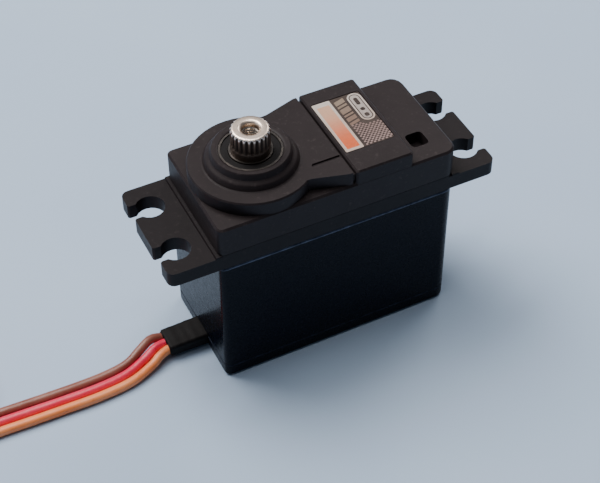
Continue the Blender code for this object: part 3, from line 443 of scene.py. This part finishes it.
# =============================================================================================
# the three-wire lead
# =============================================================================================
WIRE_R = 0.75
FLOOR = WIRE_R + 0.01
COIL = (-66.0, 9.2)
COIL_R0, COIL_STEP, COIL_LIFT = 12.0, 1.6, 0.4
MID_Z = FLOOR + COIL_LIFT + COIL_STEP
COIL_TOP = MID_Z + COIL_STEP + WIRE_R + 0.05
TAIL_R = 3.9
TAIL_Z = COIL_TOP + 0.15 + WIRE_R + COIL_STEP
PLUG_X, PLUG_Y = COIL[0] - 5.2, COIL[1] - TAIL_R
PLUG_L, PLUG_W, PLUG_H = 14.0, 7.8, 2.7
PLUG_Z0 = COIL_TOP + 0.15
LYING = {
    "brown": (-1, [(-24.6, 1.38, 1.50), (-25.9, 1.42, 1.50), (-27.8, 1.50, 1.82), (-30.1, 0.42, 1.50), (-32.8, -0.85, 0.95),
                   (-36.5, -1.38, FLOOR), (-41.0, -1.50, FLOOR), (-47.2, -1.34, FLOOR), (-54.0, -1.05, FLOOR)]),
    "red": (0, [(-24.6, 0.0, 1.50), (-26.2, 0.0, 1.50), (-27.8, -0.30, 1.50), (-29.9, -1.32, 1.12), (-33.7, -2.70, FLOOR),
                (-38.5, -3.25, FLOOR), (-44.0, -3.20, FLOOR), (-49.3, -3.00, FLOOR), (-54.5, -2.80, FLOOR)]),
    "orange": (1, [(-24.6, -1.38, 1.50), (-25.9, -1.44, 1.50), (-27.6, -2.02, 1.38), (-29.4, -2.98, 1.02), (-33.5, -4.45, FLOOR),
                   (-39.0, -4.97, FLOOR), (-44.6, -4.88, FLOOR), (-50.0, -4.74, FLOOR), (-55.1, -4.55, FLOOR)]),
}


def smoothstep(t):
    t = min(max(t, 0.0), 1.0)
    return t * t * (3 - 2 * t)


def stacked(k, x):
    t = smoothstep((-57.0 - x) / 8.0)
    a = t * math.pi / 2
    pitch = 1.85 + (COIL_STEP - 1.85) * t
    z = FLOOR + (MID_Z - FLOOR) * math.sin(a)
    return (x, COIL[1] - COIL_R0 - k * pitch * math.cos(a), z + k * COIL_STEP * math.sin(a))


def wound(k):
    """Strand k round the coil, outside to inside, clockwise seen from above."""
    pts, whole = [], 4 + 20 / 360
    n = int(whole * 36)
    for i in range(n + 1):
        turn = whole * i / n
        r = COIL_R0 - 1.6 * turn
        s = smoothstep((turn - 3.68) / (whole - 3.68))
        r = r + (TAIL_R - r) * s
        a = math.radians(-90 - 360 * turn)
        pts.append((COIL[0] + r * math.cos(a), COIL[1] + r * math.sin(a), MID_Z + k * COIL_STEP))
    return pts


def tail(k):
    pts = []
    for i in range(1, 17):
        t = i / 16
        a = math.radians(250 - 340 * t)
        pts.append((COIL[0] + TAIL_R * math.cos(a), COIL[1] + TAIL_R * math.sin(a),
                    MID_Z + (TAIL_Z - MID_Z) * t * t * (3 - 2 * t) + k * COIL_STEP))
    for i in range(1, 6):
        t = i / 5
        u = t * t * (3 - 2 * t)
        x = COIL[0] + (PLUG_X + 0.3 - COIL[0]) * t
        z = TAIL_Z + (PLUG_Z0 + PLUG_H / 2 - TAIL_Z) * u
        pitch = COIL_STEP + (2.54 - COIL_STEP) * u
        pts.append((x, PLUG_Y - k * pitch * math.sin(u * math.pi / 2), z + k * COIL_STEP * math.cos(u * math.pi / 2)))
    return pts


def wire(colour, k, lying):
    pts = list(lying) + [stacked(k, x) for x in (-57.0, -58.6, -60.2, -61.8, -63.4, -64.8)] + wound(k) + tail(k)
    pts, total = route(pts, 0.7)
    cu = bpy.data.curves.new("wire_" + colour, "CURVE")
    cu.dimensions = "3D"
    cu.bevel_depth = WIRE_R * MM
    cu.bevel_resolution = 3
    cu.use_fill_caps = True
    sp = cu.splines.new("POLY")
    sp.points.add(len(pts) - 1)
    for q, p in zip(sp.points, pts):
        q.co = (p[0] * MM, p[1] * MM, p[2] * MM, 1)
    sp.use_smooth = True
    ob = bpy.data.objects.new("wire_" + colour, cu)
    SCENE.collection.objects.link(ob)
    cu.materials.append(M["wire_" + colour])
    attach(ob, "case")
    return ob, total * MM


LEAD = {}
for colour, (k, lying) in LYING.items():
    ob, total = wire(colour, k, lying)
    LEAD[colour] = ob
    extra = ["lead_coil"] if colour == "red" else []
    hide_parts(f"lead_{colour}", f"lead_{colour}_end", *extra)

# =============================================================================================
# strain relief boot: a soft tapered bar, widest at the wall, a lip round each wire
# =============================================================================================
def boot():
    bm = bmesh.new()
    xs = [-18.0, -19.0]
    x = -19.3
    while x > -25.2:
        xs.append(x)
        x -= 0.3
    xs += [-25.3, -25.5, -25.62, -25.72, -25.78, -25.80]
    rows = []
    for x in xs:
        t = (x + 25.9) / 6.5                       # 0 at the outer end, 1 at the wall
        hw = 2.34 + 0.06 * min(t, 1)
        z0, z1 = 0.42 - 0.05 * min(t, 1), 2.50 + 0.10 * min(t, 1)
        q = min(max((-25.50 - x) / 0.30, 0.0), 1.0)
        end = 0.26 * (1 - math.sqrt(1 - q * q))
        sag = 0.025 * math.sin(x * 1.7) + 0.02 * math.sin(x * 4.1 + 1.0)
        hw, z0, z1 = hw - end + sag * 0.4, z0 + end, z1 - end + sag * 0.5
        row = []
        r = 0.55
        for cy, cz, a0 in ((hw - r, z1 - r, 0), (-hw + r, z1 - r, 90), (-hw + r, z0 + r, 180), (hw - r, z0 + r, 270)):
            for i in range(7):
                a = math.radians(a0 + 15 * i)
                row.append((x, cy + r * math.cos(a), cz + r * math.sin(a)))
        rows.append(row)
    loft(bm, rows)
    # a lip round each wire where it leaves
    for y in (1.40, 0.0, -1.40):
        prof = [(-25.70, 0.92), (-25.83, 0.90), (-25.885, 0.84), (-25.86, 0.77), (-25.60, 0.72)]
        rws = [[(px, y + pr * math.cos(math.radians(20 * i)), 1.50 + pr * math.sin(math.radians(20 * i))) for i in range(18)]
               for px, pr in prof]
        loft(bm, rws, caps=False)
    ob = from_bm("wire_boot", bm, M["boot_rubber"], "case", 50)
    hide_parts("strain_relief_boot")


boot()

# =============================================================================================
# printed label: raised ink shapes on the foil plate, an abstract pattern only
# =============================================================================================
def label():
    bm = bmesh.new()
    z0, z1 = 34.738, 34.757

    def slab(pts, mat, top=z1):
        lo = [bm.verts.new(Vector((x, y, z0)) * MM) for x, y in pts]
        hi = [bm.verts.new(Vector((x, y, top)) * MM) for x, y in pts]
        n = len(pts)
        for i in range(n):
            j = (i + 1) % n
            bm.faces.new((lo[i], lo[j], hi[j], hi[i])).material_index = mat
        bm.faces.new(hi).material_index = mat
        bm.faces.new(lo[::-1]).material_index = mat

    def rr(x0, x1, y0, y1, r, n=5):
        pts = []
        for cx, cy, a0 in ((x1 - r, y1 - r, 0), (x0 + r, y1 - r, 90), (x0 + r, y0 + r, 180), (x1 - r, y0 + r, 270)):
            for i in range(n + 1):
                a = math.radians(a0 + 90 * i / n)
                pts.append((cx + r * math.cos(a), cy + r * math.sin(a)))
        return pts

    # cream strip along the groove side with a copper panel on it
    slab(rr(3.56, 6.55, -5.15, 6.55, 0.18), 0)
    slab(rr(4.02, 6.12, -4.62, 5.6, 0.12), 1, z1 + 0.006)
    # slanted bars in the middle strip, of unequal widths
    y = 6.15
    for w in (0.95, 0.45, 1.15, 0.40, 0.85, 0.55):
        y1 = y - w
        slab([(6.98, y - 0.45), (8.72, y), (8.72, y1), (6.98, y1 - 0.45)], 2)
        y = y1 - 0.30
    # pill: ring with two plain dots and a bar inside, on a pale fill
    outer = rr(9.20, 11.52, -0.15, 6.45, 1.14, 8)
    inner = rr(9.46, 11.26, 0.11, 6.19, 0.88, 8)
    n = len(outer)
    rows = [[(x, y, z) for x, y in loop] for loop, z in ((outer, z0), (outer, z1 + 0.004), (inner, z1 + 0.004), (inner, z0))]
    loft(bm, rows + [rows[0]], caps=False, mat=0)
    slab(rr(9.64, 11.08, 0.29, 6.01, 0.70, 6), 5, z1 - 0.004)
    for cy, h in ((1.15, 0.42), (2.55, 0.36)):
        slab(rr(10.0, 10.74, cy - h, cy + h, 0.3, 5), 3, z1 + 0.003)
    slab(rr(10.04, 10.70, 3.65, 5.35, 0.28, 5), 3, z1 + 0.003)
    # fine checks on the near side
    p = 0.33
    for i in range(14):
        for j in range(15):
            if (i + j) % 2 == 0:
                x, y = 7.02 + p * i, -5.02 + p * j
                if i >= 6 and y > -1.0 or y > 0.0:
                    continue
                slab([(x, y), (x + p * 0.96, y), (x + p * 0.96, y + p * 0.96), (x, y + p * 0.96)], 4)
    from_bm("label_inks", bm, [LABEL_CREAM, LABEL_COPPER, LABEL_BRONZE, M["label_print"], LABEL_ROSE, LABEL_PALE], "case", None)


label()

# =============================================================================================
# output shaft with rounded spline teeth, and the thread in its end
# =============================================================================================
TEETH, CREST, ROOT = 23, 2.96, 2.66


def shaft():
    """The lower steps follow the CAD; the spline has rounded teeth that run out on the collar."""
    bm = bmesh.new()
    prof = [(1.08, 27.9, 0), (1.08, 24.35, 0), (1.5, 24.35, 0), (1.5, 26.45, 0), (2.1, 26.5, 0), (2.1, 29.7, 0), (2.85, 29.75, 0),
            (2.85, 33.38, 0), (3.0, 33.42, 0), (3.0, 37.70, 0), (2.99, 37.80, 0), (2.975, 37.90, 0.10), (2.96, 38.02, 0.55),
            (2.96, 38.12, 0.85), (2.96, 38.25, 1), (2.96, 39.3, 1), (2.96, 40.42, 1), (2.93, 40.52, 1), (2.87, 40.60, 1),
            (2.79, 40.67, 0.9), (2.72, 40.72, 0.5), (2.62, 40.765, 0.0), (2.50, 40.79, 0), (2.38, 40.80, 0), (2.05, 40.80, 0),
            (1.85, 40.80, 0), (1.74, 40.79, 0), (1.64, 40.75, 0), (1.34, 40.50, 0), (1.30, 40.42, 0), (1.30, 33.5, 0)]
    n = TEETH * 12
    rows = []
    for r, z, t in prof:
        row = []
        for i in range(n):
            a = 2 * math.pi * i / n
            w = 0.5 - 0.5 * math.cos(TEETH * a)
            w = w ** 0.8
            q = r if t == 0 else min(r, ROOT + (r - ROOT) * (1 - t) + (r - ROOT) * t * w)
            row.append((-9.6 + q * math.cos(a), q * math.sin(a), z))
        rows.append(row)
    vr = loft(bm, rows, caps=False)
    for ring, z in ((vr[0], 28.0), (vr[-1], 33.0)):
        v = bm.verts.new(Vector((-9.6, 0.0, z)) * MM)
        for i in range(n):
            bm.faces.new((v, ring[i], ring[(i + 1) % n]))
    ob = from_bm("splined_shaft", bm, M["shaft_spline"], "output", 40)
    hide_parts("output_shaft")


def thread():
    bm = bmesh.new()
    ox, oy = -9.6, 0.0
    z_top, z_low, pitch, n = 40.05, 35.6, 0.5, 24
    rows = []
    steps = int((z_top - z_low) / pitch * n)
    for i in range(steps + 1):
        a = 2 * math.pi * i / n
        z = z_top - pitch * i / n
        fade = min(1, i / (n * 0.5), (steps - i) / (n * 0.5) + 0.02)
        crest = 1.297 - 0.20 * fade
        rows.append([(ox + r * math.cos(a), oy - r * math.sin(a), z + dz)
                     for r, dz in ((1.299, 0.21), (crest, 0.045), (crest, -0.045), (1.299, -0.21))])
    loft(bm, rows)
    from_bm("shaft_thread", bm, M["shaft_metal"], "output", 40)


shaft()
thread()

# =============================================================================================
# cable tie: thin ribbed strap drawn round the coil, with its locking head on the outside
# =============================================================================================
def tie():
    bm = bmesh.new()
    ang = math.radians(125)
    ex, ey = math.cos(ang), math.sin(ang)

    def at(r, w, z):
        return (COIL[0] + r * ex - w * ey, COIL[1] + r * ey + w * ex, z)

    r0, r1, z0, z1, c = 5.05, 13.05, 0.30, COIL_TOP + 0.14, 0.75
    path = []
    for cx, cz, a0 in ((r1 - c, z1 - c, 0), (r0 + c, z1 - c, 90), (r0 + c, z0 + c, 180), (r1 - c, z0 + c, 270)):
        for i in range(7):
            a = math.radians(a0 + 15 * i)
            path.append((cx + c * math.cos(a), cz + c * math.sin(a), math.cos(a), math.sin(a)))
    dense = []
    for (xa, za, na, ma), (xb, zb, nb, mb) in zip(path, path[1:] + path[:1]):
        k = max(1, int(math.hypot(xb - xa, zb - za) / 0.16))
        for i in range(k):
            t = i / k
            dense.append((xa + (xb - xa) * t, za + (zb - za) * t, na + (nb - na) * t, ma + (mb - ma) * t))
    rows = []
    for i, (x, z, nx, nz) in enumerate(dense):
        tooth = 0.035 if i % 4 < 2 else 0.0
        row = []
        for w, h in ((-0.92, 0.0), (-1.0, 0.06), (-1.0, 0.20), (-0.92, 0.26), (-0.62, 0.27), (-0.58, 0.22 + tooth), (0.58, 0.22 + tooth),
                     (0.62, 0.27), (0.92, 0.26), (1.0, 0.20), (1.0, 0.06), (0.92, 0.0)):
            row.append(at(x + nx * h, w, z + nz * h))
        rows.append(row)
    loft(bm, rows + [rows[0]], caps=False)
    # head: a rounded block, the strap's cut end standing out of it
    rows = []
    for x, s in ((13.0, 0.85), (13.08, 0.97), (13.2, 1.0), (14.1, 1.0), (14.3, 0.95), (14.42, 0.82)):
        row = []
        hw, hz, r, zc = 1.35 * s, 1.25 * s, 0.32, 2.75
        for cy, cz, a0 in ((hw - r, hz - r, 0), (-hw + r, hz - r, 90), (-hw + r, -hz + r, 180), (hw - r, -hz + r, 270)):
            for i in range(5):
                a = math.radians(a0 + 22.5 * i)
                row.append(at(x, cy + r * math.cos(a), zc + cz + r * math.sin(a)))
        rows.append(row)
    loft(bm, rows)
    rows = []
    for z, h in ((3.6, 0.0), (4.2, 0.0), (4.85, 0.08), (5.25, 0.16), (5.3, 0.18)):
        rows.append([at(13.5 + h + dx, w, z) for w, dx in ((-0.9, 0.0), (0.9, 0.0), (0.9, 0.26), (-0.9, 0.26))])
    loft(bm, rows)
    ob = from_bm("cable_tie", bm, M["tie_nylon"], "case", 35)
    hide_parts("lead_tie")


tie()

# =============================================================================================
# edges
# =============================================================================================
soften("top_cover", 0.13, 30)
soften("mounting_frame", 0.22, 35)
soften("motor_case", 0.07, 40)
soften("bottom_cover", 0.10, 40)
soften("connector_body", 0.14, 40)

# =============================================================================================
# floor and light
# =============================================================================================
def floor():
    bm = bmesh.new()
    s = 900
    n = 12
    grid = [[bm.verts.new(Vector((-s + 2 * s * i / n, -s + 2 * s * j / n, 0.0)) * MM) for i in range(n + 1)] for j in range(n + 1)]
    for j in range(n):
        for i in range(n):
            bm.faces.new((grid[j][i], grid[j][i + 1], grid[j + 1][i + 1], grid[j + 1][i]))
    me = bpy.data.meshes.new("studio_floor")
    bm.to_mesh(me)
    bm.free()
    ob = bpy.data.objects.new("studio_floor", me)
    SCENE.collection.objects.link(ob)
    m = Mat("studio_floor")
    col = m.mix(m.remap(m.noise(0.02, 2, 0.5), 0.3, 0.7, 0, 1), (0.44, 0.57, 0.76), (0.47, 0.60, 0.78))
    m.bump(m.noise(1.5, 3, 0.6), 0.01)
    me.materials.append(m.done(col, 0.7, 0.0, Specular_IOR_Level=0.2))


floor()


def area(name, where, at, size, power, colour, size_y=None):
    d = bpy.data.lights.new(name, "AREA")
    d.shape = "RECTANGLE"
    d.size, d.size_y = size, size_y or size
    d.energy = power
    d.color = colour
    ob = bpy.data.objects.new(name, d)
    ob.location = where
    ob.rotation_euler = (Vector(at) - Vector(where)).to_track_quat("-Z", "Y").to_euler()
    SCENE.collection.objects.link(ob)


area("key", (-0.24, 0.46, 0.74), (0.0, 0.0, 0.02), 0.50, 9.0, (1.0, 0.97, 0.94))
area("fill", (-0.85, 0.10, 0.35), (0.0, 0.0, 0.02), 0.5, 0.45, (0.86, 0.93, 1.0))
area("side", (0.30, 0.20, 0.24), (0.0, 0.0, 0.035), 0.20, 0.5, (1.0, 0.97, 0.94))
area("top", (0.02, 0.10, 0.95), (0.0, 0.0, 0.02), 0.5, 4.2, (1.0, 0.99, 0.97))

world = bpy.data.worlds.new("studio")
SCENE.world = world
world.use_nodes = True
wt = world.node_tree
bg = wt.nodes["Background"]
bg.inputs["Color"].default_value = (0.60, 0.67, 0.78, 1)
bg.inputs["Strength"].default_value = 0.11
